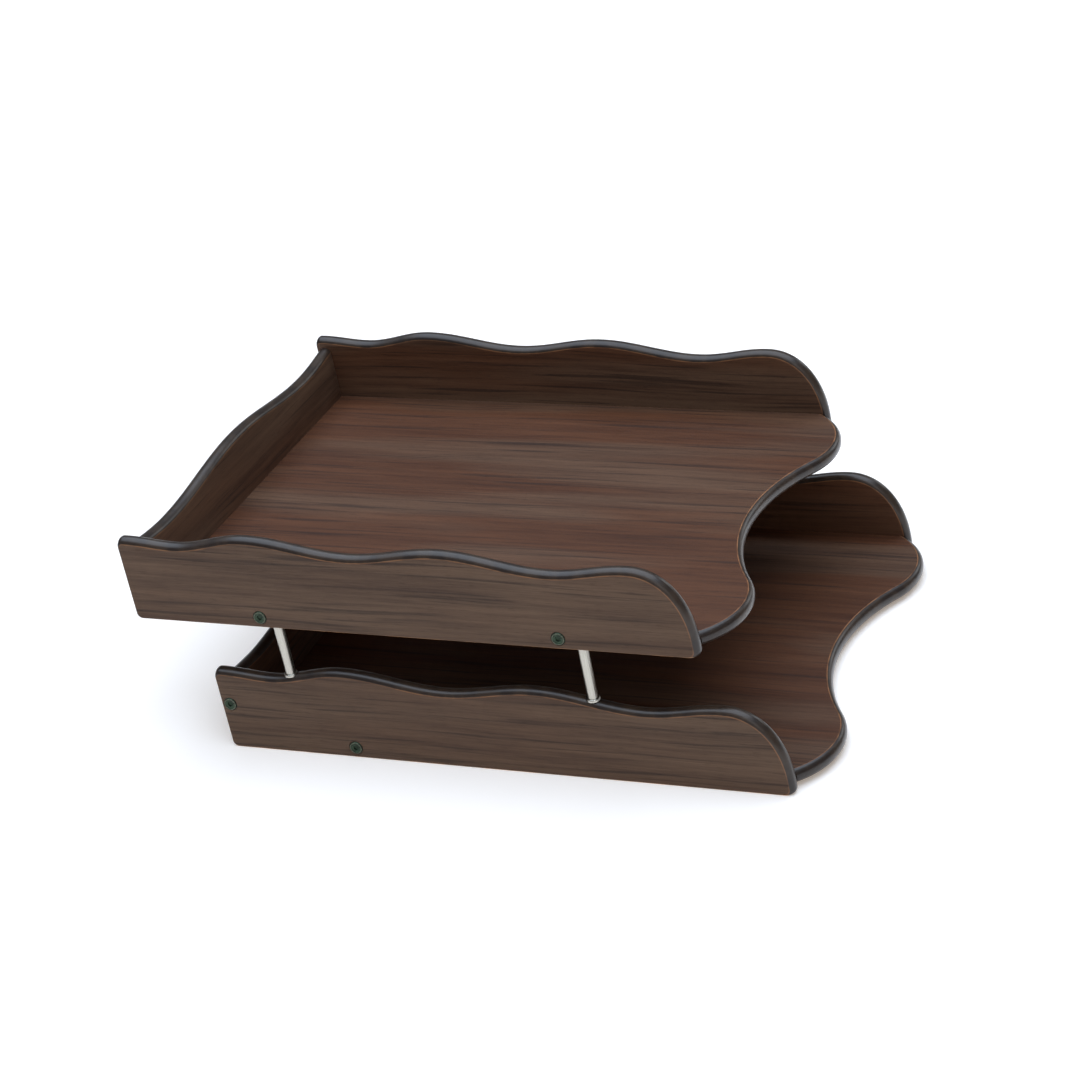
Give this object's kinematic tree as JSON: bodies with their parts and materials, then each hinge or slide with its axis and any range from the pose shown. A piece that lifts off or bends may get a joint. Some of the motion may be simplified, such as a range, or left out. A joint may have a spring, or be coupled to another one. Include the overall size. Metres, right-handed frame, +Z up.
{
  "type": "letter tray",
  "caption": "Two-tier wooden letter tray with wavy side and back boards, open lobed fronts with a finger recess, and slanting steel riser rods between the tiers.",
  "frame": {"origin": "middle of the bounding box in X and Y, on the surface that the lower side boards stand on", "axes": "+Z up; the open fronts face -Y; +X is to the right of someone facing the open front"},
  "size_m": [0.2932, 0.411, 0.141],
  "materials": {
    "walnut_board": "walnut laminate faces with rounded edges painted dark brown, semi-gloss",
    "riser_rod": "polished steel",
    "screw": "antique bronze, slightly green",
    "dowel": "raw beech"
  },
  "bodies": {
    "lower_tray": {"lower_base": "walnut_board", "lower_back": "walnut_board", "lower_left_side": "walnut_board", "lower_right_side": "walnut_board", "lower_left_base_screw_rear": "screw", "lower_right_base_screw_rear": "screw", "lower_left_back_screw_upper": "screw", "lower_right_back_screw_upper": "screw", "lower_left_base_dowel_front": "dowel", "lower_right_base_dowel_front": "dowel", "lower_left_back_dowel_lower": "dowel", "lower_right_back_dowel_lower": "dowel"},
    "upper_tray": {"upper_base": "walnut_board", "upper_back": "walnut_board", "upper_left_side": "walnut_board", "upper_right_side": "walnut_board", "upper_left_base_screw_rear": "screw", "upper_right_base_screw_rear": "screw", "upper_left_base_screw_front": "screw", "upper_right_base_screw_front": "screw", "upper_left_back_dowel_lower": "dowel", "upper_right_back_dowel_lower": "dowel", "upper_left_back_dowel_upper": "dowel", "upper_right_back_dowel_upper": "dowel", "left_front_rod": "riser_rod", "left_rear_rod": "riser_rod", "right_front_rod": "riser_rod", "right_rear_rod": "riser_rod", "left_front_collar": "riser_rod", "left_rear_collar": "riser_rod", "right_front_collar": "riser_rod", "right_rear_collar": "riser_rod"}
  },
  "joints": [
    {"name": "upper_tray_lift", "type": "slide", "parent": "lower_tray", "child": "upper_tray", "axis": [0, 0.0698, 0.9976], "range_m": [0, 0.04]}
  ]
}
